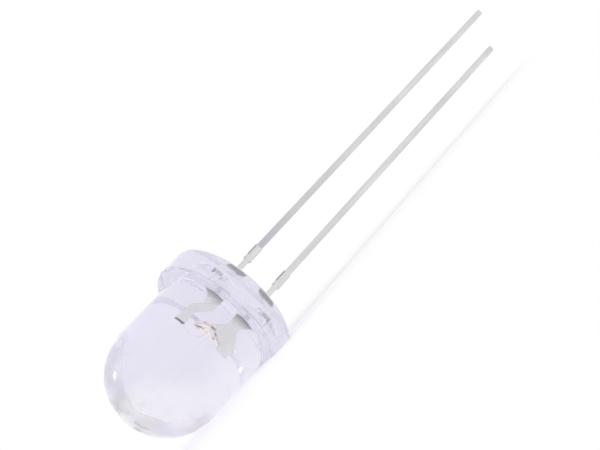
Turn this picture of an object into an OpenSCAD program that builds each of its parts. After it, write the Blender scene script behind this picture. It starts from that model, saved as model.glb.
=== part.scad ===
// Through-hole light-emitting diode: a clear cast lens with a flange, around a stamped lead frame.
// The modules stand the part upright: base face at z = 0, dome up, leads down, anode at -x.
// laid_down() then puts it on the flat of its flange, with the dome towards -X.

/* [Lens] */
// Diameter of the flange at the base
flange_d = 9.4; // [9.1:0.1:10]
// Thickness of the flange
flange_t = 1.9; // [1.5:0.1:2.4]
// Distance of the flange's flat from the middle line
flat_dist = 4; // [3.95:0.05:4.3]
// Diameter of the straight barrel, and of its dome
barrel_d = 7.74; // [7.24:0.1:7.84]
// Height from the base face to the top of the dome
lens_h = 10.4; // [9.6:0.1:12]
// Radius of the two round edges of the flange
rim_round = 0.15; // [0.05:0.05:0.3]

/* [Leads] */
// Distance between the middles of the two leads
lead_pitch = 2.54; // [2.44:0.02:2.7]
// Width of a lead below its stop
lead_w = 0.44; // [0.38:0.02:0.5]
// Thickness of the sheet that both leads are stamped from
lead_t = 0.4; // [0.34:0.02:0.5]
// Width of a lead's neck, between its stop and the base face
neck_w = 0.36; // [0.3:0.02:0.42]
// Width of a lead's stop
stop_w = 0.56; // [0.52:0.02:0.8]
// Distance from the base face to the near end of the stops
stop_gap = 3.1; // [2:0.1:5]
// Length of a stop
stop_len = 1.25; // [0.8:0.05:2]
// Length of the anode lead below the base face
anode_len = 32.8; // [26.8:0.5:36.8]
// Length of the cathode lead below the base face
cathode_len = 30.9; // [24.9:0.5:34.9]
// Bevel at the sheared tip of each lead
tip_bevel = 0.08; // [0.02:0.02:0.12]

/* [Waists inside the lens] */
// Height at which both leads leave their straight run and turn inwards
turn_z = 0.5; // [0.3:0.05:0.7]
// Height at which the inner edges reach the waists
waist_in_z = 1; // [0.8:0.05:1.2]
// Height at which the outer edges reach the waists
waist_out_z = 1.45; // [1.25:0.05:1.7]
// Height at which the waists end
waist_top = 2; // [1.85:0.05:2.2]
// Distance from the middle line to the inner edge of each waist
waist_in = 0.37; // [0.25:0.01:0.45]
// Width of the waists
waist_w = 0.49; // [0.4:0.01:0.55]

/* [Anode post] */
// Distance from the middle line to the inner edge of the post
post_in = 0.87; // [0.84:0.01:0.95]
// Width of the post
post_w = 0.41; // [0.35:0.01:0.5]
// Height at which the post's inner edge is clear of the slope
post_z = 2.85; // [2.6:0.05:3.1]
// Height at which its outer edge is clear of the slope
foot_z = 2.4; // [2.3:0.05:2.7]
// Distance from the middle line to the post's outer edge at that height
foot_out = 1.15; // [1.1:0.01:1.2]
// Height of the top of the post
post_top = 3.95; // [3.6:0.05:4.4]

/* [Cathode anvil and cup] */
// Distance from the middle line to the outer edge of the anvil
anvil_out = 1.2; // [1.1:0.01:1.3]
// Height at which the anvil has its full width
anvil_z = 2.6; // [2.4:0.05:2.8]
// Height of the top of the anvil beside the cup
anvil_top = 3.68; // [3.6:0.02:3.8]
// Height of the rim of the reflector cup
cup_rim_z = 3.4; // [3.3:0.02:3.48]
// Outer diameter of the cup at its rim
cup_rim_d = 1.36; // [1.3:0.02:1.44]
// Width of the cup's flat rim
cup_wall = 0.06; // [0.04:0.02:0.1]
// Depth of the cup
cup_depth = 0.3; // [0.26:0.02:0.36]
// Diameter of the cup's flat floor
cup_floor_d = 0.64; // [0.58:0.02:0.7]
// Height of the underside of the cup's cone
cup_low_z = 2.62; // [2.5:0.02:2.7]
// Diameter of the underside of the cup's cone
cup_low_d = 0.34; // [0.26:0.02:0.4]

/* [Die and bond wire] */
// Side of the square die
die_w = 0.32; // [0.24:0.01:0.36]
// Height of the die
die_h = 0.18; // [0.1:0.01:0.22]
// Width by which the silver epoxy stands out round the die
attach_lip = 0.03; // [0.01:0.01:0.05]
// Thickness of the silver epoxy under the die
attach_t = 0.02; // [0.01:0.005:0.04]
// Diameter of the bond wire
wire_d = 0.026; // [0.024:0.001:0.032]
// Diameter of the ball at the wire's start on the die
ball_d = 0.1; // [0.07:0.01:0.12]
// Height of that ball
ball_h = 0.03; // [0.02:0.005:0.05]
// Height of the wire's loop over the top of the post
loop_rise = 0.12; // [0.1:0.02:0.4]
// Distance from the post's outer edge to the wire's end
stitch_inset = 0.12; // [0.08:0.01:0.2]

/* [Hidden] */
// Overhang of a cutting solid past the face that it cuts
over = 0.5;
flange_r = flange_d / 2;
barrel_r = barrel_d / 2;
dome_z = lens_h - barrel_r;
lead_x = lead_pitch / 2;
waist_out = waist_in + waist_w;
post_out = post_in + post_w;
cup_r = cup_rim_d / 2;
cup_floor_z = cup_rim_z - cup_depth;
die_z = cup_floor_z + attach_t;
die_top = die_z + die_h;
wire_r = wire_d / 2;
wire_steps = 24;
wire_sides = 8;
// The wire's axis starts in the middle of the ball's top and ends on the top of the post
wire_start = [0, die_top + ball_h];
wire_end = [-post_out + stitch_inset, post_top + wire_r * cos(180 / wire_sides)];
loop_z = post_top + loop_rise;
// Handles of the wire's curve: straight up from the ball, then along the top of the post
wire_up = [0, loop_z + (loop_z - wire_start[1]) / 2];
wire_over = [wire_end[0] / 2, wire_end[1] + loop_rise];

// Half section of the flange, with round outer edges
module flange_section() {
    difference() {
        square([flange_r, flange_t]);
        translate([flange_r, 0]) mirror([1, 0]) edge_cut();
        translate([flange_r, flange_t]) mirror([1, 0]) mirror([0, 1]) edge_cut();
    }
}

// What a round edge takes off a corner at the origin
module edge_cut() {
    difference() {
        translate([-over, -over]) square(rim_round + over);
        translate([rim_round, rim_round]) circle(r = rim_round, $fn = 48);
        translate([rim_round, -2 * over]) square(4 * over);
        translate([-2 * over, rim_round]) square(4 * over);
    }
}

// Half section of the barrel and its dome
module barrel_section() {
    square([barrel_r, dome_z]);
    intersection() {
        translate([0, dome_z]) circle(r = barrel_r, $fn = 128);
        square([barrel_r, lens_h]);
    }
}

// The lens as cast, before its flat and the things inside it
module lens_body() {
    difference() {
        rotate_extrude($fn = 128) {
            flange_section();
            barrel_section();
        }
        translate([flat_dist, -flange_r, -over]) cube([flange_r, flange_d, flange_t + 2 * over]);
    }
}

// Half width of a lead against its height, from where it turns inwards down to its tip
function leg_profile(length) = [
    [neck_w / 2, turn_z],
    [neck_w / 2, -stop_gap],
    [stop_w / 2, -stop_gap],
    [stop_w / 2, -stop_gap - stop_len],
    [lead_w / 2, -stop_gap - stop_len],
    [lead_w / 2, -length + tip_bevel],
    [lead_w / 2 - tip_bevel, -length]
];

// Outline of a whole lead on the +x side: its waist and leg, closed by the points of its head
module lead_outline(length, head) {
    leg = leg_profile(length);
    back = [for (i = [1:len(leg)]) leg[len(leg) - i]];
    polygon(concat(
        [[waist_in, waist_top], [waist_in, waist_in_z]],
        [for (p = leg) [lead_x - p[0], p[1]]],
        [for (p = back) [lead_x + p[0], p[1]]],
        [[waist_out, waist_out_z], [waist_out, waist_top]],
        head
    ));
}

// A flat outline stood up in the plane of the leads, as thick as the sheet
module stamped() {
    rotate([90, 0, 0]) linear_extrude(height = lead_t, center = true) children();
}

// Cone of the reflector cup, from its underside to its rim
module cup_cone() {
    translate([0, 0, cup_low_z])
        cylinder(d1 = cup_low_d, d2 = cup_rim_d, h = cup_rim_z - cup_low_z, $fn = 96);
}

// Inside of the cup, open upwards
module cup_hollow() {
    inner_r = cup_r - cup_wall;
    translate([0, 0, cup_floor_z])
        cylinder(d1 = cup_floor_d, r2 = inner_r, h = cup_depth, $fn = 96);
    translate([0, 0, cup_rim_z]) cylinder(r = cup_r, h = anvil_top, $fn = 96);
}

module cathode_solid() {
    difference() {
        union() {
            stamped() lead_outline(cathode_len, [
                [anvil_out, anvil_z],
                [anvil_out, anvil_top],
                [0, anvil_top],
                [0, cup_low_z]
            ]);
            cup_cone();
        }
        cup_hollow();
    }
}

module anode_solid() {
    mirror([1, 0, 0]) stamped() lead_outline(anode_len, [
        [foot_out, foot_z],
        [post_out, post_top],
        [post_in, post_top],
        [post_in, post_z]
    ]);
}

module attach_solid() {
    side = die_w + 2 * attach_lip;
    translate([-side / 2, -side / 2, cup_floor_z]) cube([side, side, attach_t]);
}

module die_solid() {
    translate([-die_w / 2, -die_w / 2, die_z]) cube([die_w, die_w, die_h]);
}

// Point and direction of the wire's axis at t from 0 to 1, on a cubic curve in the plane of the leads
function wire_point(t) =
    pow(1 - t, 3) * wire_start + 3 * t * pow(1 - t, 2) * wire_up
    + 3 * t * t * (1 - t) * wire_over + pow(t, 3) * wire_end;
function wire_slope(t) =
    pow(1 - t, 2) * (wire_up - wire_start) + 2 * t * (1 - t) * (wire_over - wire_up)
    + t * t * (wire_end - wire_over);
// Ring of points round the axis at t
function wire_ring(t) =
    let (p = wire_point(t), d = wire_slope(t) / norm(wire_slope(t)))
    [for (k = [0:wire_sides - 1])
        let (a = 360 * (k + 0.5) / wire_sides, out = wire_r * cos(a), side = wire_r * sin(a))
        [p[0] + out * d[1], side, p[1] - out * d[0]]];

module wire_solid() {
    rings = [for (i = [0:wire_steps]) each wire_ring(i / wire_steps)];
    last = wire_steps * wire_sides;
    walls = [for (i = [0:wire_steps - 1], k = [0:wire_sides - 1])
        let (a = i * wire_sides, b = a + wire_sides, n = (k + 1) % wire_sides)
        [a + k, b + k, b + n, a + n]];
    start_cap = [for (k = [0:wire_sides - 1]) k];
    end_cap = [for (k = [wire_sides - 1:-1:0]) last + k];
    polyhedron(points = rings, faces = concat([start_cap, end_cap], walls), convexity = 4);
    translate([0, 0, die_top]) cylinder(d = ball_d, h = ball_h, $fn = 32);
}

// Turns the upright part down onto the flat of its flange
module laid_down() {
    rotate([180, 90, 0]) children();
}

module lens() {
    color([0.86, 0.85, 0.95, 0.4]) laid_down() difference() {
        lens_body();
        cathode_solid();
        anode_solid();
        attach_solid();
        die_solid();
        wire_solid();
    }
}

module cathode_lead() {
    color([0.78, 0.78, 0.78]) laid_down() cathode_solid();
}

module anode_lead() {
    color([0.78, 0.78, 0.78]) laid_down() anode_solid();
}

module die_attach() {
    color([0.7, 0.7, 0.68]) laid_down() attach_solid();
}

module led_die() {
    color([0.75, 0.55, 0.2]) laid_down() die_solid();
}

module bond_wire() {
    color([0.9, 0.72, 0.3]) laid_down() wire_solid();
}

lens();
cathode_lead();
anode_lead();
die_attach();
led_die();
bond_wire();
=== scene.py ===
# Through-hole light-emitting diode: a clear cast lens round a stamped lead frame, lying on its flange's flat
import bpy
import bmesh
import math
from mathutils import Matrix, Vector


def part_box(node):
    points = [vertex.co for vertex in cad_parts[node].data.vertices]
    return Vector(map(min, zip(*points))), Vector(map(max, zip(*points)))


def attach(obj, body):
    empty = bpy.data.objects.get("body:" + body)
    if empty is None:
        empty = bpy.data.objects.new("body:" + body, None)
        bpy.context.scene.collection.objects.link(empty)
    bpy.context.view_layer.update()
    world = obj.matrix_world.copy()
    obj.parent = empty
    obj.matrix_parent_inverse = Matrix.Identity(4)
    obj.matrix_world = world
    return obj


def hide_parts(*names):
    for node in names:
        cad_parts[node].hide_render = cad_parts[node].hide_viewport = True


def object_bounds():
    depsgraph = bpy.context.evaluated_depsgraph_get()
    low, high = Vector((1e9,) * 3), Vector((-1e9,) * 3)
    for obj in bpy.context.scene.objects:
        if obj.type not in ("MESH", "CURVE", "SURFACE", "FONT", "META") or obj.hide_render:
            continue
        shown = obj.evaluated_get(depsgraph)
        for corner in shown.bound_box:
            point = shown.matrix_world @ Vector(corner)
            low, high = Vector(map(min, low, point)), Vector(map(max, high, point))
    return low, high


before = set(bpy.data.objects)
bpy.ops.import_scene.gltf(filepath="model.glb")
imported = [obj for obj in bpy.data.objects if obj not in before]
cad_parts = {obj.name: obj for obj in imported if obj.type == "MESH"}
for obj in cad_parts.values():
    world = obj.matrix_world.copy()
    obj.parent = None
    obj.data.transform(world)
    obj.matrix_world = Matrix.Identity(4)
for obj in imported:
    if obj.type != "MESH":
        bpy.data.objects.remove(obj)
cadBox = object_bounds()
mm = 0.001  # sizes are written in millimetres, meshes are made in metres

# The part's own directions: from the anode to the cathode, out of the stamped face, and up to the dome
across = Vector((0, 0, -1))
outward = Vector((0, -1, 0))
upward = Vector((-1, 0, 0))


def at(x, y, z):
    # a point of the upright part, in mm, where it lies in the frame
    return (across * x + outward * y + upward * z) * mm


def linear(hexColour):
    # an sRGB hex value as the linear colour that a socket takes
    parts = [int(hexColour[k:k + 2], 16) / 255 for k in (1, 3, 5)]
    return (*[c / 12.92 if c <= 0.04045 else ((c + 0.055) / 1.055) ** 2.4 for c in parts], 1)


def addNode(tree, kind, inputs=None, **settings):
    # a node with its settings, and its inputs by name or number as values or links
    node = tree.nodes.new(kind)
    for key, value in settings.items():
        setattr(node, key, value)
    for key, value in (inputs or {}).items():
        if isinstance(value, bpy.types.NodeSocket):
            tree.links.new(value, node.inputs[key])
        else:
            node.inputs[key].default_value = value
    return node


def newMaterial(name):
    # an empty material with its output node
    material = bpy.data.materials.new(name)
    material.use_nodes = True
    material.node_tree.nodes.clear()
    return material, material.node_tree, addNode(material.node_tree, "ShaderNodeOutputMaterial")


def softenEdges(work, smoothAngle):
    # smooth shading, but for edges where the faces meet at more than the angle
    for face in work.faces:
        face.smooth = True
    for edge in work.edges:
        edge.smooth = len(edge.link_faces) == 2 and edge.calc_face_angle() < math.radians(smoothAngle)


def meshPiece(name, points, faces, material, smoothAngle):
    # a piece from points in metres
    mesh = bpy.data.meshes.new(name)
    mesh.from_pydata(points, [], faces)
    piece = bpy.data.objects.new(name, mesh)
    bpy.context.collection.objects.link(piece)
    mesh.materials.append(material)
    work = bmesh.new()
    work.from_mesh(mesh)
    bmesh.ops.recalc_face_normals(work, faces=work.faces)
    softenEdges(work, smoothAngle)
    work.to_mesh(mesh)
    work.free()
    return piece


def ringFaces(count, around):
    # the faces between neighbouring rings of points
    faces = []
    for k in range(count - 1):
        for j in range(around):
            n = (j + 1) % around
            faces.append((k * around + j, k * around + n, (k + 1) * around + n, (k + 1) * around + j))
    return faces


def plainMesh(piece):
    # the piece's modifiers become its mesh
    graph = bpy.context.evaluated_depsgraph_get()
    mesh = bpy.data.meshes.new_from_object(piece.evaluated_get(graph), depsgraph=graph)
    piece.modifiers.clear()
    piece.data = mesh
    mesh.name = piece.name


def belongs(piece, node=None):
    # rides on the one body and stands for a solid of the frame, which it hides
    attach(piece, "root")
    if node:
        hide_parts(node)


# Materials

legs = {  # mm, as the part's source has them
    "pitch": 2.54,
    "neck": 0.36,
    "thickness": 0.4,
}
relief = 0.6  # share of a fine pattern's depth that the light shows

epoxyLook = {
    "tintPale": "#FDFBFF",  # the palest tint, towards the flat and the tip, with no shade painted
    "tintShaded": "#E5E3F2",  # painted shade: a faint lavender that darkens the other side
    "tintFlangeShade": "#DFDDED",  # painted shade: the flange's tint, darker still
    "paleUpTo": -3.2,  # mm from the middle line, up the frame's Z
    "shadedFrom": -0.6,  # mm
    "domeFrom": 6.8,  # mm above the base face, where the pale side starts to spread
    "domePaleReach": 3.6,  # mm that it has spread across at the tip
    "flange": 1.9,  # mm above the base face, up to which the flange's tint goes
    "flangeFade": 0.3,  # mm in which it fades out
    "deeper": "#F4F2FB",  # what a face keeps of light that has crossed the casting before
    "deeperFrom": 1.5,  # that is, of light that has met more faces than this
    "cloud": 3.0,  # mm between denser and clearer places
    "cloudShare": 0.15,
    "ripple": 1.1,  # mm between the mould's faint ripples
    "rippleDepth": 0.0006,  # mm
    "dents": 1.2,  # mm between the slight, smooth dents near the tip
    "dentDepth": 0.05,  # mm
    "dentsFrom": 6.8,  # mm above the base face, where they start
    "dentsFull": 10,  # and where they are at their deepest
    "polished": 0.015,  # roughness of the faces that the mould made
    "openFace": 0.05,  # roughness of the base, which set in the open
    "openFrom": 0.08,  # mm above the base face, where the open face's finish starts
    "openFull": 0.02,
    "ior": 1.58,
    "clear": 0.88,  # the rest is haze in the casting
    "turns": 3.5,  # light that has met more faces than this passes straight on
    "caught": "#F7F5FC",  # what such light keeps at each face
    "shadow": "#F6F5FC",  # what a lamp's light keeps at each face
}


def castEpoxy():
    # Water-clear epoxy, cast in a polished mould: a glass-like body that bends what is behind it
    look = epoxyLook
    material, tree, output = newMaterial("castClearEpoxy")
    spot = addNode(tree, "ShaderNodeTexCoord").outputs["Object"]
    place = addNode(tree, "ShaderNodeSeparateXYZ", {"Vector": spot}).outputs
    path = addNode(tree, "ShaderNodeLightPath").outputs
    # painted shade in the tint: pale towards the flat and the tip, shaded on the other side, darkest in the
    # flange
    spread = addNode(tree, "ShaderNodeMapRange", {
        "Value": place["X"], "From Min": -look["domeFrom"] * mm, "From Max": cadBox[0].x,
        "To Max": -look["domePaleReach"] * mm,
    }).outputs["Result"]
    level = addNode(tree, "ShaderNodeMath", {0: place["Z"], 1: spread}, operation="ADD").outputs[0]
    shadedSide = addNode(tree, "ShaderNodeMapRange", {
        "Value": level, "From Min": look["paleUpTo"] * mm, "From Max": look["shadedFrom"] * mm,
    }, interpolation_type="SMOOTHSTEP").outputs["Result"]
    cloud = addNode(tree, "ShaderNodeTexNoise", {
        "Vector": spot, "Scale": 1 / (look["cloud"] * mm), "Detail": 1,
    }).outputs["Fac"]
    shadeAndCloud = addNode(tree, "ShaderNodeMix", {
        "Factor": look["cloudShare"], 2: shadedSide, 3: cloud,
    }, data_type="FLOAT").outputs[0]
    inFlange = addNode(tree, "ShaderNodeMapRange", {
        "Value": place["X"], "From Min": -(look["flange"] + look["flangeFade"]) * mm,
        "From Max": -look["flange"] * mm,
    }).outputs["Result"]
    again = addNode(tree, "ShaderNodeMath", {
        0: path["Ray Depth"], 1: look["deeperFrom"],
    }, operation="GREATER_THAN").outputs[0]
    tint = addNode(tree, "ShaderNodeMix", {
        "Factor": shadeAndCloud, 6: linear(look["tintPale"]), 7: linear(look["tintShaded"]),
    }, data_type="RGBA").outputs[2]
    for share, colour in ((inFlange, "tintFlangeShade"), (again, "deeper")):
        tint = addNode(tree, "ShaderNodeMix", {
            "Factor": share, 6: tint, 7: linear(look[colour]),
        }, data_type="RGBA").outputs[2]
    # the surface: the mould's ripples all over, and dents towards the tip
    ripple = addNode(tree, "ShaderNodeTexNoise", {
        "Vector": spot, "Scale": 1 / (look["ripple"] * mm), "Detail": 2,
    }).outputs["Fac"]
    rippled = addNode(tree, "ShaderNodeBump", {
        "Height": ripple, "Distance": look["rippleDepth"] * mm, "Strength": 1,
    }).outputs["Normal"]
    dents = addNode(tree, "ShaderNodeTexNoise", {
        "Vector": spot, "Scale": 1 / (look["dents"] * mm), "Detail": 0,
    }).outputs["Fac"]
    nearTip = addNode(tree, "ShaderNodeMapRange", {
        "Value": place["X"], "From Min": -look["dentsFrom"] * mm, "From Max": -look["dentsFull"] * mm,
    }).outputs["Result"]
    dented = addNode(tree, "ShaderNodeBump", {
        "Height": dents, "Distance": look["dentDepth"] * mm, "Strength": nearTip, "Normal": rippled,
    }).outputs["Normal"]
    rough = addNode(tree, "ShaderNodeMapRange", {
        "Value": place["X"], "From Min": -look["openFrom"] * mm, "From Max": -look["openFull"] * mm,
        "To Min": look["polished"], "To Max": look["openFace"],
    }).outputs["Result"]
    glass = addNode(tree, "ShaderNodeBsdfPrincipled", {
        "Base Color": tint, "Roughness": rough, "Normal": dented,
        "IOR": look["ior"], "Transmission Weight": look["clear"],
    })
    # lamps shine through the lens, and light that is caught inside finds its way out after some turns
    late = addNode(tree, "ShaderNodeMath", {
        0: path["Ray Depth"], 1: look["turns"],
    }, operation="GREATER_THAN").outputs[0]
    kept = addNode(tree, "ShaderNodeMix", {
        "Factor": late, 6: linear(look["shadow"]), 7: linear(look["caught"]),
    }, data_type="RGBA").outputs[2]
    through = addNode(tree, "ShaderNodeBsdfTransparent", {"Color": kept})
    passing = addNode(tree, "ShaderNodeMath", {
        0: path["Is Shadow Ray"], 1: late,
    }, operation="MAXIMUM").outputs[0]
    both = addNode(tree, "ShaderNodeMixShader", {0: passing, 1: glass.outputs[0], 2: through.outputs[0]})
    tree.links.new(both.outputs[0], output.inputs["Surface"])
    return material


tinLook = {
    "bright": "#DFDFDE",
    "dull": "#D1D1D2",
    "dullUpTo": 0.12,  # of the marks times the patches
    "brightFrom": 0.4,
    "streak": 0.22,  # mm between the rolling marks across the strip
    "streakLength": 5,  # mm
    "mottle": 2.6,  # mm between the patches of the dipped coat
    "smooth": 0.2,  # roughness where it is bright
    "rough": 0.36,  # and where it is dull
    "depth": 0.0006,  # mm of the marks
    "sides": "#8F9093",  # the sheared sides of the strip: rougher, and darker partly as a painted shade for the dark lines their edges reflect
    "sideFrom": 0.3,  # how far sideways a face points, as a share, where a side's shade starts
    "sideFull": 0.6,  # and where it is a side's in full
    "beltShade": "#9C9C96",  # painted shade: a darker belt round each lead in the flange
    "plate": "#EBECE5",  # the brighter coat of the heads above it
    "plateSmooth": 0.22,
    "plateFrom": 1.0,  # mm above the base face
    "plateFade": 0.6,  # mm
    "feetAndHighlight": "#FFFFFC",  # and of the feet below it, down to the base face: the tin's bright coat, whitened further as a painted highlight
    "feetTo": 0.84,  # mm above the base face
    "feetFade": 0.15,  # mm
    "sheared": "#3E4046",  # painted reflection: the top of the post darkened, standing in for the dark that its end face mirrors
    "shearedFrom": 3.87,  # mm above the base face
    "shearedFade": 0.03,  # mm
    "stopEdgeShade": "#8E8E92",  # painted shade: a darker line along the same side's edge of each stop
    "stopEdgeFrom": 0.22,  # mm from a lead's middle
    "stopEdgeFade": 0.03,  # mm
    "stopFrom": 3.4,  # mm below the base face
    "stopTo": 4.35,
    "anodeBelowStop": "#BFBEC6",  # darker and slightly violet, on the anode below its stop
    "anodeBelowStopTo": 13,  # mm below the base face, where it has faded out
}


def shadedStopEdge(tree, place):
    # 1 on one side's edge of each stop, where a shade is painted
    lead = addNode(tree, "ShaderNodeMath", {0: place["Z"]}, operation="SIGN").outputs[0]
    middle = addNode(tree, "ShaderNodeMath", {
        0: lead, 1: legs["pitch"] / 2 * mm,
    }, operation="MULTIPLY").outputs[0]
    offMiddle = addNode(tree, "ShaderNodeMath", {0: place["Z"], 1: middle}, operation="SUBTRACT").outputs[0]
    edge = addNode(tree, "ShaderNodeMapRange", {
        "Value": offMiddle, "From Min": (tinLook["stopEdgeFrom"] - tinLook["stopEdgeFade"]) * mm,
        "From Max": tinLook["stopEdgeFrom"] * mm,
    }).outputs["Result"]
    after = addNode(tree, "ShaderNodeMath", {
        0: place["X"], 1: tinLook["stopFrom"] * mm,
    }, operation="GREATER_THAN").outputs[0]
    before = addNode(tree, "ShaderNodeMath", {
        0: place["X"], 1: tinLook["stopTo"] * mm,
    }, operation="LESS_THAN").outputs[0]
    within = addNode(tree, "ShaderNodeMath", {0: after, 1: before}, operation="MULTIPLY").outputs[0]
    return addNode(tree, "ShaderNodeMath", {0: edge, 1: within}, operation="MULTIPLY").outputs[0]


def belowAnodeStop(tree, place):
    # from 1 below the anode's stop to 0 where the darkening has faded out
    fading = addNode(tree, "ShaderNodeMapRange", {
        "Value": place["X"], "From Min": tinLook["anodeBelowStopTo"] * mm, "From Max": tinLook["stopTo"] * mm,
    }).outputs["Result"]
    below = addNode(tree, "ShaderNodeMath", {
        0: place["X"], 1: tinLook["stopTo"] * mm,
    }, operation="GREATER_THAN").outputs[0]
    onAnode = addNode(tree, "ShaderNodeMath", {0: place["Z"], 1: 0.0}, operation="GREATER_THAN").outputs[0]
    within = addNode(tree, "ShaderNodeMath", {0: below, 1: onAnode}, operation="MULTIPLY").outputs[0]
    return addNode(tree, "ShaderNodeMath", {0: fading, 1: within}, operation="MULTIPLY").outputs[0]


def tinnedSteel():
    # Tin-dipped steel strip, stamped: a soft silver shine with rolling marks along the leads
    look = tinLook
    material, tree, output = newMaterial("tinnedSteelStrip")
    spot = addNode(tree, "ShaderNodeTexCoord").outputs["Object"]
    place = addNode(tree, "ShaderNodeSeparateXYZ", {"Vector": spot}).outputs
    closeness = 1 / (look["streak"] * mm)
    stretched = addNode(tree, "ShaderNodeMapping", {
        "Vector": spot, "Scale": (1 / (look["streakLength"] * mm), closeness, closeness),
    }).outputs[0]
    streak = addNode(tree, "ShaderNodeTexNoise", {
        "Vector": stretched, "Scale": 1, "Detail": 2,
    }).outputs["Fac"]
    mottle = addNode(tree, "ShaderNodeTexNoise", {
        "Vector": spot, "Scale": 1 / (look["mottle"] * mm), "Detail": 3,
    }).outputs["Fac"]
    mixed = addNode(tree, "ShaderNodeMath", {0: streak, 1: mottle}, operation="MULTIPLY").outputs[0]
    shade = addNode(tree, "ShaderNodeMapRange", {
        "Value": mixed, "From Min": look["dullUpTo"], "From Max": look["brightFrom"],
    }).outputs["Result"]
    # where each of the strip's other coats, painted shades and painted highlights shows
    facing = addNode(tree, "ShaderNodeNewGeometry").outputs["Normal"]
    turned = addNode(tree, "ShaderNodeSeparateXYZ", {"Vector": facing}).outputs["Z"]
    sideways = addNode(tree, "ShaderNodeMath", {0: turned}, operation="ABSOLUTE").outputs[0]
    side = addNode(tree, "ShaderNodeMapRange", {
        "Value": sideways, "From Min": look["sideFrom"], "From Max": look["sideFull"],
    }).outputs["Result"]
    inLens = addNode(tree, "ShaderNodeMath", {0: place["X"], 1: 0.0}, operation="LESS_THAN").outputs[0]
    lowDown = addNode(tree, "ShaderNodeMapRange", {
        "Value": place["X"], "From Min": -look["feetTo"] * mm,
        "From Max": -(look["feetTo"] - look["feetFade"]) * mm,
    }).outputs["Result"]
    foot = addNode(tree, "ShaderNodeMath", {0: lowDown, 1: inLens}, operation="MULTIPLY").outputs[0]
    head = addNode(tree, "ShaderNodeMapRange", {
        "Value": place["X"], "From Min": -look["plateFrom"] * mm,
        "From Max": -(look["plateFrom"] + look["plateFade"]) * mm,
    }).outputs["Result"]
    plated = addNode(tree, "ShaderNodeMath", {0: head, 1: foot}, operation="MAXIMUM").outputs[0]
    sheared = addNode(tree, "ShaderNodeMapRange", {
        "Value": place["X"], "From Min": -look["shearedFrom"] * mm,
        "From Max": -(look["shearedFrom"] + look["shearedFade"]) * mm,
    }).outputs["Result"]
    colour = addNode(tree, "ShaderNodeMix", {
        "Factor": shade, 6: linear(look["dull"]), 7: linear(look["bright"]),
    }, data_type="RGBA").outputs[2]
    coatsAndPaintedLight = (
        (belowAnodeStop(tree, place), "anodeBelowStop"), (side, "sides"), (inLens, "beltShade"), (plated, "plate"),
        (foot, "feetAndHighlight"), (sheared, "sheared"), (shadedStopEdge(tree, place), "stopEdgeShade"),
    )
    for share, finish in coatsAndPaintedLight:
        colour = addNode(tree, "ShaderNodeMix", {
            "Factor": share, 6: colour, 7: linear(look[finish]),
        }, data_type="RGBA").outputs[2]
    rough = addNode(tree, "ShaderNodeMapRange", {
        "Value": shade, "To Min": look["rough"], "To Max": look["smooth"],
    }).outputs["Result"]
    rough = addNode(tree, "ShaderNodeMix", {
        "Factor": plated, 2: rough, 3: look["plateSmooth"],
    }, data_type="FLOAT").outputs[0]
    bump = addNode(tree, "ShaderNodeBump", {
        "Height": streak, "Distance": look["depth"] * mm, "Strength": relief,
    }).outputs["Normal"]
    metal = addNode(tree, "ShaderNodeBsdfPrincipled", {
        "Base Color": colour, "Roughness": rough, "Normal": bump, "Metallic": 1,
    })
    tree.links.new(metal.outputs[0], output.inputs["Surface"])
    return material


# Silver, plated and left matt: a white cup with painted reflections on it, warm and dark flecks
silverReflectionsLook = {
    "dark": "#857B73",
    "light": "#FFFAF2",
    "darkUpTo": 0.34,  # of the grain's noise
    "lightFrom": 0.5,
    "grain": 0.24,  # mm between the painted reflections' flecks
    "metallic": 0.1,
    "smooth": 0.12,  # roughness of the light grains
    "rough": 0.3,  # and of the dark ones
    "depth": 0.002,  # mm
    "paintedGlow": 0.14,  # painted glow, on top of what the lamps give
}

# Silver-filled epoxy, dispensed and baked: flakes in a binder, so a dull, speckled grey
silverEpoxyLook = {
    "dark": "#9C9B98",
    "light": "#DAD9D5",
    "darkUpTo": 0.25,
    "lightFrom": 0.75,
    "grain": 0.02,
    "metallic": 0.85,
    "smooth": 0.35,
    "rough": 0.6,
    "depth": 0.002,
    "paintedGlow": 0,
}

# Gallium phosphide crystal, sawn: pale amber, lightened and glowing as a painted highlight, with a waxy
# shine and the saw's fine grain
crystalLook = {
    "dark": "#EED9B8",
    "light": "#FFF8EA",
    "darkUpTo": 0.25,
    "lightFrom": 0.75,
    "grain": 0.04,
    "metallic": 0,
    "smooth": 0.18,
    "rough": 0.4,
    "depth": 0.002,
    "paintedGlow": 0.35,
}

# Gold, drawn to a wire or laid down as a pad: warm and bright
goldLook = {
    "dark": "#F0DFBD",
    "light": "#FBF0D9",
    "darkUpTo": 0.25,
    "lightFrom": 0.75,
    "grain": 0.03,
    "metallic": 1,
    "smooth": 0.15,
    "rough": 0.3,
    "depth": 0.0005,
    "paintedGlow": 0,
}


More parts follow.
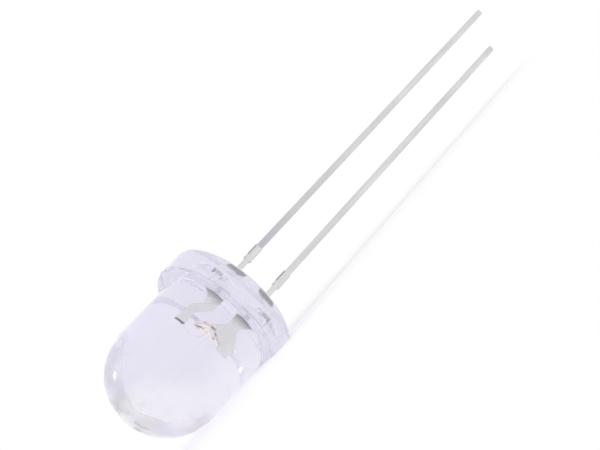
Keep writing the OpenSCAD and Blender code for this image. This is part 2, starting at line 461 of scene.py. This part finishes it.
def grainyMaterial(name, look):
    # a fine-grained solid: its colour, roughness and height follow one noise of the grain's size
    material, tree, output = newMaterial(name)
    spot = addNode(tree, "ShaderNodeTexCoord").outputs["Object"]
    noise = addNode(tree, "ShaderNodeTexNoise", {
        "Vector": spot, "Scale": 1 / (look["grain"] * mm), "Detail": 3,
    }).outputs["Fac"]
    shade = addNode(tree, "ShaderNodeMapRange", {
        "Value": noise, "From Min": look["darkUpTo"], "From Max": look["lightFrom"],
    }).outputs["Result"]
    colour = addNode(tree, "ShaderNodeMix", {
        "Factor": shade, 6: linear(look["dark"]), 7: linear(look["light"]),
    }, data_type="RGBA").outputs[2]
    rough = addNode(tree, "ShaderNodeMapRange", {
        "Value": noise, "To Min": look["rough"], "To Max": look["smooth"],
    }).outputs["Result"]
    bump = addNode(tree, "ShaderNodeBump", {
        "Height": noise, "Distance": look["depth"] * mm, "Strength": relief,
    }).outputs["Normal"]
    # the emission is a painted glow of the solid's own colour
    solid = addNode(tree, "ShaderNodeBsdfPrincipled", {
        "Base Color": colour, "Roughness": rough, "Normal": bump, "Metallic": look["metallic"],
        "Emission Color": colour, "Emission Strength": look["paintedGlow"],
    })
    tree.links.new(solid.outputs[0], output.inputs["Surface"])
    return material


epoxy = castEpoxy()
tin = tinnedSteel()
silverWithReflections = grainyMaterial("platedSilverPaintedReflections", silverReflectionsLook)
silverEpoxy = grainyMaterial("silverFilledEpoxy", silverEpoxyLook)
crystal = grainyMaterial("sawnAmberCrystal", crystalLook)
gold = grainyMaterial("drawnGold", goldLook)
print("materials are ready")

# Lens

lens = {
    "flangeRadius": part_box("lens")[1].y / mm,
    "flat": -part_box("lens")[0].z / mm,  # from the middle line
    "height": -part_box("lens")[0].x / mm,
    "flangeThickness": 1.9,
    "barrelRadius": 3.87,
    "rimRound": 0.15,
    "flatRound": 0.25,  # share of that rounding on the flat's own edges, which are sharper
    "rootRound": 0.05,  # in the corner between barrel and flange
    "meniscus": 0.8,  # height to which the resin climbs the leads
    "meniscusReach": 0.45,
    "meniscusFall": 2.2,  # how steeply it falls within that reach
    "flatSegments": 48,
    "rimSegments": 192,
    "rimSteps": 7,
    "ledgeSteps": (0.04, 0.35, 0.7, 0.96, 1),  # shares of the way from the flange's rim to the barrel
    "rootSteps": 4,
    "barrelSteps": (0.02, 0.25, 0.5, 0.75),  # shares of the way from the flange to the dome
    "domeRings": 56,
    "baseRings": 110,
    "smoothAngle": 26,
}


def flangeRing(radius, flat):
    # points of a circle cut off by a flat, with the same count on the flat and on the round part
    corner = math.acos(min(flat / radius, 1))
    count, rest = lens["flatSegments"], lens["rimSegments"]
    onFlat = [(flat, flat * math.tan(corner * (2 * k / count - 1))) for k in range(count)]
    turns = [corner + (2 * math.pi - 2 * corner) * k / rest for k in range(rest)]
    return onFlat + [(radius * math.cos(a), radius * math.sin(a)) for a in turns]


def roundRing(radius):
    # points of a circle in the same directions as those of the flange's outline
    outline = flangeRing(lens["flangeRadius"], lens["flat"])
    return [(radius * x / math.hypot(x, y), radius * y / math.hypot(x, y)) for x, y in outline]


def blendRings(one, other, share):
    return [(a + (c - a) * share, b + (d - b) * share) for (a, b), (c, d) in zip(one, other)]


def baseHeight(x, y):
    # the base face climbs the necks of the two leads
    height = 0
    for side in (-1, 1):
        offX = max(abs(x - side * legs["pitch"] / 2) - legs["neck"] / 2, 0)
        offY = max(abs(y) - legs["thickness"] / 2, 0)
        gap = math.hypot(offX, offY) / lens["meniscusReach"]
        height -= lens["meniscus"] * math.exp(-lens["meniscusFall"] * gap)
    return height


def rimRing(turn, centre):
    # a ring on the flange's round edge, at a turn about the edge's own centre line
    inset = lens["rimRound"] * (1 - math.cos(turn))
    points = flangeRing(lens["flangeRadius"] - inset, lens["flat"] - inset * lens["flatRound"])
    return [(x, y, centre + lens["rimRound"] * math.sin(turn)) for x, y in points]


def lensRings():
    # rings of (x, y, height) from the rim of the base over the flange and barrel to the dome
    soft, corner, barrel = lens["rimRound"], lens["rootRound"], lens["barrelRadius"]
    top = lens["flangeThickness"]
    domeFoot = lens["height"] - barrel
    rings = []
    for k in range(lens["rimSteps"] + 1):
        rings.append(rimRing(math.radians(-90 + 90 * k / lens["rimSteps"]), soft))
    for k in range(lens["rimSteps"] + 1):
        rings.append(rimRing(math.radians(90 * k / lens["rimSteps"]), top - soft))
    outer = flangeRing(lens["flangeRadius"] - soft, lens["flat"] - soft * lens["flatRound"])
    inner = roundRing(barrel + corner)
    for share in lens["ledgeSteps"]:
        rings.append([(x, y, top) for x, y in blendRings(outer, inner, share)])
    for k in range(1, lens["rootSteps"] + 1):
        turn = math.radians(90 * k / lens["rootSteps"])
        height = top + corner * (1 - math.cos(turn))
        rings.append([(x, y, height) for x, y in roundRing(barrel + corner * (1 - math.sin(turn)))])
    for share in lens["barrelSteps"]:
        height = top + corner + (domeFoot - top - corner) * share
        rings.append([(x, y, height) for x, y in roundRing(barrel)])
    for k in range(lens["domeRings"]):
        turn = math.radians(90 * k / lens["domeRings"])
        height = domeFoot + barrel * math.sin(turn)
        rings.append([(x, y, height) for x, y in roundRing(barrel * math.cos(turn))])
    return rings


def makeLens():
    rings = lensRings()
    edge = [(x, y) for x, y, height in rings[0]]
    base = []
    for k in range(1, lens["baseRings"]):
        share = k / lens["baseRings"]
        base.append([(x * share, y * share, baseHeight(x * share, y * share)) for x, y in edge])
    rings = base + rings
    around = len(edge)
    points = [at(*p) for ring in rings for p in ring]
    faces = ringFaces(len(rings), around)
    last = len(points) - around
    baseMiddle, tip = len(points), len(points) + 1
    points += [at(0, 0, baseHeight(0, 0)), at(0, 0, lens["height"])]
    for j in range(around):
        n = (j + 1) % around
        faces.append((baseMiddle, n, j))
        faces.append((last + j, last + n, tip))
    return meshPiece("clear_lens", points, faces, epoxy, lens["smoothAngle"])


belongs(makeLens(), "lens")
print("lens is made")

# Lead frame

leadFrame = {
    "edgeRound": 0.028,
    "edgeSegments": 2,
    "edgeAngle": 28,  # an edge sharper than this is rounded
    "merge": 0.0005,  # points nearer than this are one
    "flatWithin": 0.5,  # faces that meet at less are one
    "smoothAngle": 40,
    "cupReach": 0.69,  # the cup's silver, from the middle line
    "cupFrom": 2.64,  # and above the base face
    "cupFacing": 0.95,  # but not on the strip's flat faces, which point out more than this
}


def roundedCopy(node, name):
    # the stamped solid with its edges rounded, as stamping and tin leave them
    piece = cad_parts[node].copy()
    piece.data = piece.data.copy()
    piece.name = piece.data.name = name
    bpy.context.collection.objects.link(piece)
    piece.parent = None
    work = bmesh.new()
    work.from_mesh(piece.data)
    bmesh.ops.remove_doubles(work, verts=work.verts, dist=leadFrame["merge"] * mm)
    flatWithin = math.radians(leadFrame["flatWithin"])
    bmesh.ops.dissolve_limit(work, angle_limit=flatWithin, verts=work.verts, edges=work.edges)
    work.to_mesh(piece.data)
    work.free()
    bevel = piece.modifiers.new("edges", "BEVEL")
    bevel.width = leadFrame["edgeRound"] * mm
    bevel.segments = leadFrame["edgeSegments"]
    bevel.limit_method = "ANGLE"
    bevel.angle_limit = math.radians(leadFrame["edgeAngle"])
    plainMesh(piece)
    work = bmesh.new()
    work.from_mesh(piece.data)
    softenEdges(work, leadFrame["smoothAngle"])
    work.to_mesh(piece.data)
    work.free()
    piece.data.materials.clear()
    piece.data.materials.append(tin)
    piece.data.materials.append(silverWithReflections)
    for face in piece.data.polygons:
        nearMiddle = math.hypot(face.center.y, face.center.z) < leadFrame["cupReach"] * mm
        highUp = -face.center.x > leadFrame["cupFrom"] * mm
        curved = abs(face.normal.y) < leadFrame["cupFacing"]
        face.material_index = 1 if nearMiddle and highUp and curved else 0
    return piece


belongs(roundedCopy("cathode_lead", "cathode_strip"), "cathode_lead")
belongs(roundedCopy("anode_lead", "anode_strip"), "anode_lead")
print("leads are made")

# Chip, its bed and its pad

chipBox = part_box("led_die")
chip = {
    "floor": -chipBox[1].x / mm,
    "top": -chipBox[0].x / mm,
    "half": chipBox[1].y / mm,
    "taper": 0.018,  # how far the sawn sides lean in
    "round": 0.008,
    "topEdge": ((0, 1), (0.3, 0.3), (1, 0)),  # its steps, in and down, as shares of the rounding
    "cornerSteps": 5,
    "smoothAngle": 35,
}
bed = {
    "foot": -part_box("die_attach")[1].x / mm,
    "reach": 0.06,  # how far the silver epoxy spreads past the chip
    "climb": 0.055,  # and how high it climbs the chip's sides
    "cornerTop": 0.03,  # rounding of its corners there
    "cornerFoot": 0.08,  # and at its foot
    "steps": 8,
    "smoothAngle": 50,
}
pad = {
    "radius": 0.055,
    "height": 0.004,
    "profile": ((1, 0), (0.97, 0.7), (0.9, 1), (0.5, 1)),  # shares of radius and height, from its foot
    "sides": 32,
    "smoothAngle": 40,
}


def squareRing(half, height, corner):
    # a square outline with round corners
    points = []
    for quarter in range(4):
        towards = math.radians(90 * quarter + 45)
        for k in range(chip["cornerSteps"] + 1):
            turn = math.radians(90 * quarter + 90 * k / chip["cornerSteps"])
            x = (half - corner) * math.copysign(1, math.cos(towards)) + corner * math.cos(turn)
            y = (half - corner) * math.copysign(1, math.sin(towards)) + corner * math.sin(turn)
            points.append((x, y, height))
    return points


def stacked(name, rings, material, smoothAngle):
    # a closed solid from rings of equal count, with flat ends
    around = len(rings[0])
    points = [at(*p) for ring in rings for p in ring]
    ends = [tuple(range(around)), tuple(range(len(points) - around, len(points)))]
    return meshPiece(name, points, ends + ringFaces(len(rings), around), material, smoothAngle)


def makeChip():
    edge = chip["round"]
    upperHalf = chip["half"] - chip["taper"]
    rings = [squareRing(chip["half"], chip["floor"], edge)]
    for inward, down in chip["topEdge"]:
        rings.append(squareRing(upperHalf - edge * inward, chip["top"] - edge * down, edge))
    return stacked("led_chip", rings, crystal, chip["smoothAngle"])


def makeBed():
    rings = []
    for k in range(bed["steps"] + 1):
        share = k / bed["steps"]
        half = chip["half"] + bed["reach"] * (1 - share) ** 2
        height = bed["foot"] + bed["climb"] * share ** 2
        corner = bed["cornerTop"] + (bed["cornerFoot"] - bed["cornerTop"]) * (1 - share)
        rings.append(squareRing(half, height, corner))
    return stacked("silver_bed", rings, silverEpoxy, bed["smoothAngle"])


def makePad():
    turns = [2 * math.pi * k / pad["sides"] for k in range(pad["sides"])]
    rings = []
    for out, up in pad["profile"]:
        radius, height = pad["radius"] * out, chip["top"] + pad["height"] * up
        rings.append([(radius * math.cos(a), radius * math.sin(a), height) for a in turns])
    return stacked("chip_pad", rings, gold, pad["smoothAngle"])


belongs(makeChip(), "led_die")
belongs(makeBed(), "die_attach")
belongs(makePad())
print("chip is made")

# Bond wire: a tube along one curve, with the ball at its start and the flattened stitch at its end

wire = {
    "radius": 0.013,
    "postTop": 3.95,
    "endAcross": -1.16,  # where the stitch sits on the post, from the middle line
    "endSunk": 0.9,  # height of the wire's middle over the post there, as a share of its radius
    "loopRise": 0.12,
    "ballRadius": 0.05,
    "ballHeight": 0.03,
    "ballMiddle": 0.5,  # share of that height at which the ball's middle sits
    "ballHalf": 0.6,  # share of it that the ball reaches up and down from there
    "stitchLength": 0.07,
    "steps": 40,
    "sides": 12,
    "beadSegments": 20,
    "beadRings": 12,
}


def wireTree():
    tree = bpy.data.node_groups.new("bondWire", "GeometryNodeTree")
    face = tree.interface
    for name in ("Start", "Start handle", "End handle", "End"):
        face.new_socket(name, in_out="INPUT", socket_type="NodeSocketVector")
    for name in ("Radius", "Ball radius", "Ball height", "Stitch length"):
        face.new_socket(name, in_out="INPUT", socket_type="NodeSocketFloat")
    for name in ("Steps", "Sides", "Bead segments", "Bead rings"):
        face.new_socket(name, in_out="INPUT", socket_type="NodeSocketInt")
    face.new_socket("Material", in_out="INPUT", socket_type="NodeSocketMaterial")
    face.new_socket("Geometry", in_out="OUTPUT", socket_type="NodeSocketGeometry")
    given = addNode(tree, "NodeGroupInput").outputs
    curve = addNode(tree, "GeometryNodeCurvePrimitiveBezierSegment", {
        "Resolution": given["Steps"], "Start": given["Start"], "Start Handle": given["Start handle"],
        "End Handle": given["End handle"], "End": given["End"],
    })
    ring = addNode(tree, "GeometryNodeCurvePrimitiveCircle", {
        "Resolution": given["Sides"], "Radius": given["Radius"],
    })
    tube = addNode(tree, "GeometryNodeCurveToMesh", {
        "Curve": curve.outputs[0], "Profile Curve": ring.outputs[0], "Fill Caps": True,
    })
    bead = addNode(tree, "GeometryNodeMeshUVSphere", {
        "Segments": given["Bead segments"], "Rings": given["Bead rings"], "Radius": 1.0,
    })
    ballScale = addNode(tree, "ShaderNodeCombineXYZ", {
        0: given["Ball height"], 1: given["Ball radius"], 2: given["Ball radius"],
    })
    ball = addNode(tree, "GeometryNodeTransform", {
        "Geometry": bead.outputs[0], "Translation": given["Start"], "Scale": ballScale.outputs[0],
    })
    stitchScale = addNode(tree, "ShaderNodeCombineXYZ", {
        0: given["Radius"], 1: given["Ball radius"], 2: given["Stitch length"],
    })
    stitch = addNode(tree, "GeometryNodeTransform", {
        "Geometry": bead.outputs[0], "Translation": given["End"], "Scale": stitchScale.outputs[0],
    })
    joined = addNode(tree, "GeometryNodeJoinGeometry")
    for part in (stitch, ball, tube):
        tree.links.new(part.outputs[0], joined.inputs[0])
    smooth = addNode(tree, "GeometryNodeSetShadeSmooth", {"Geometry": joined.outputs[0]})
    real = addNode(tree, "GeometryNodeRealizeInstances", {"Geometry": smooth.outputs[0]})
    painted = addNode(tree, "GeometryNodeSetMaterial", {
        "Geometry": real.outputs[0], "Material": given["Material"],
    })
    addNode(tree, "NodeGroupOutput", {"Geometry": painted.outputs[0]})
    return tree


def makeWire():
    piece = bpy.data.objects.new("gold_wire", bpy.data.meshes.new("gold_wire"))
    bpy.context.collection.objects.link(piece)
    tree = wireTree()
    ballTop = chip["top"] + wire["ballHeight"]
    loopTop = wire["postTop"] + wire["loopRise"]
    endUp = wire["postTop"] + wire["radius"] * wire["endSunk"]
    values = {
        "Start": at(0, 0, chip["top"] + wire["ballHeight"] * wire["ballMiddle"]),
        "Start handle": at(0, 0, loopTop + (loopTop - ballTop) / 2),
        "End handle": at(wire["endAcross"] / 2, 0, endUp + wire["loopRise"]),
        "End": at(wire["endAcross"], 0, endUp),
        "Radius": wire["radius"] * mm,
        "Ball radius": wire["ballRadius"] * mm,
        "Ball height": wire["ballHeight"] * wire["ballHalf"] * mm,
        "Stitch length": wire["stitchLength"] * mm,
        "Steps": wire["steps"],
        "Sides": wire["sides"],
        "Bead segments": wire["beadSegments"],
        "Bead rings": wire["beadRings"],
        "Material": gold,
    }
    modifier = piece.modifiers.new("wire", "NODES")
    modifier.node_group = tree
    for socket in tree.interface.items_tree:
        if socket.in_out == "INPUT":
            modifier[socket.identifier] = values[socket.name]
    piece.update_tag()
    plainMesh(piece)
    return piece


belongs(makeWire(), "bond_wire")
print("bond wire is made")

# Floor, backdrop and light

studio = {
    "floorSize": 20000,  # mm
    "floorColour": "#EDEDED",
    "floorGrain": "#F3F3F3",
    "grain": 0.8,  # mm
    "floorGlow": 0.11,  # what the camera, metal and glass see on top of the floor's own light
    "worldLight": 0.55,
}


def seenRays(tree):
    # 1 for what the camera sees, straight or by metal and glass
    path = addNode(tree, "ShaderNodeLightPath").outputs
    first = addNode(tree, "ShaderNodeMath", {
        0: path["Is Camera Ray"], 1: path["Is Glossy Ray"],
    }, operation="MAXIMUM").outputs[0]
    return addNode(tree, "ShaderNodeMath", {
        0: first, 1: path["Is Transmission Ray"],
    }, operation="MAXIMUM").outputs[0]


def matPaper():
    # Paper, pressed and left matt: an even white with the faintest grain
    material, tree, output = newMaterial("matPaperFloor")
    spot = addNode(tree, "ShaderNodeTexCoord").outputs["Object"]
    grain = addNode(tree, "ShaderNodeTexNoise", {
        "Vector": spot, "Scale": 1 / (studio["grain"] * mm), "Detail": 2,
    }).outputs["Fac"]
    tone = addNode(tree, "ShaderNodeMix", {
        "Factor": grain, 6: linear(studio["floorColour"]), 7: linear(studio["floorGrain"]),
    }, data_type="RGBA").outputs[2]
    paper = addNode(tree, "ShaderNodeBsdfDiffuse", {"Color": tone})
    strength = addNode(tree, "ShaderNodeMath", {
        0: seenRays(tree), 1: studio["floorGlow"],
    }, operation="MULTIPLY").outputs[0]
    glow = addNode(tree, "ShaderNodeEmission", {"Strength": strength})
    both = addNode(tree, "ShaderNodeAddShader", {0: paper.outputs[0], 1: glow.outputs[0]})
    tree.links.new(both.outputs[0], output.inputs["Surface"])
    return material


def makeFloor():
    half = studio["floorSize"] / 2 * mm
    level = cadBox[0].z
    corners = [(-half, -half, level), (half, -half, level), (half, half, level), (-half, half, level)]
    mesh = bpy.data.meshes.new("floor")
    mesh.from_pydata(corners, [], [(0, 1, 2, 3)])
    mesh.materials.append(matPaper())
    floor = bpy.data.objects.new("floor", mesh)
    bpy.context.collection.objects.link(floor)


def makeWorld():
    # white to look at, dimmer as a light
    world = bpy.data.worlds.new("paleRoom")
    bpy.context.scene.world = world
    world.use_nodes = True
    tree = world.node_tree
    tree.nodes.clear()
    light = addNode(tree, "ShaderNodeBackground", {"Color": (1, 1, 1, 1), "Strength": studio["worldLight"]})
    white = addNode(tree, "ShaderNodeBackground", {"Color": (1, 1, 1, 1), "Strength": 1})
    both = addNode(tree, "ShaderNodeMixShader", {
        0: seenRays(tree), 1: light.outputs[0], 2: white.outputs[0],
    })
    addNode(tree, "ShaderNodeOutputWorld", {"Surface": both.outputs[0]})


makeFloor()
makeWorld()

lamps = {
    "keyLamp": {"source": (-0.5, -0.6, 0.9), "spread": 60, "power": 1.45},
    "fillLamp": {"source": (0.7, 0.3, 0.8), "spread": 80, "power": 0.5},
    "glintLamp": {"source": (-0.47, 0.59, 0.66), "spread": 10, "power": 0.1, "mirrored": True},
}


def softLamp(name, source, spread, power, mirrored=False):
    # a far lamp in the given direction, as wide as its spread in degrees; the lens and the metal show
    # the white room, and of the lamps only a mirrored one
    data = bpy.data.lights.new(name, "SUN")
    data.angle = math.radians(spread)
    data.energy = power
    lamp = bpy.data.objects.new(name, data)
    bpy.context.collection.objects.link(lamp)
    lamp.visible_glossy = mirrored
    lamp.visible_transmission = False
    lamp.rotation_euler = (-Vector(source)).to_track_quat("-Z", "Y").to_euler()


for name, values in lamps.items():
    softLamp(name, **values)

# Camera, at the photograph's viewing angle

view = {
    "place": (-35.73, -73.67, 1.4),  # mm
    "forward": (0.50878, 0.8608, -0.01308),
    "up": (0.63176, -0.363, 0.68492),
    "lens": 76.12,  # mm
    "sensor": 36,  # mm
    "near": 1,  # mm
    "far": 20000,  # mm
}


def makeCamera():
    data = bpy.data.cameras.new("camera")
    data.lens = view["lens"]
    data.sensor_width = view["sensor"]
    data.clip_start = view["near"] * mm
    data.clip_end = view["far"] * mm
    camera = bpy.data.objects.new("camera", data)
    bpy.context.collection.objects.link(camera)
    back = -Vector(view["forward"]).normalized()
    right = Vector(view["up"]).cross(back).normalized()
    turn = Matrix((right, back.cross(right), back)).transposed()
    camera.matrix_world = Matrix.Translation(Vector(view["place"]) * mm) @ turn.to_4x4()
    bpy.context.scene.camera = camera


makeCamera()
bpy.context.scene.view_settings.view_transform = "Standard"
print("studio is ready")
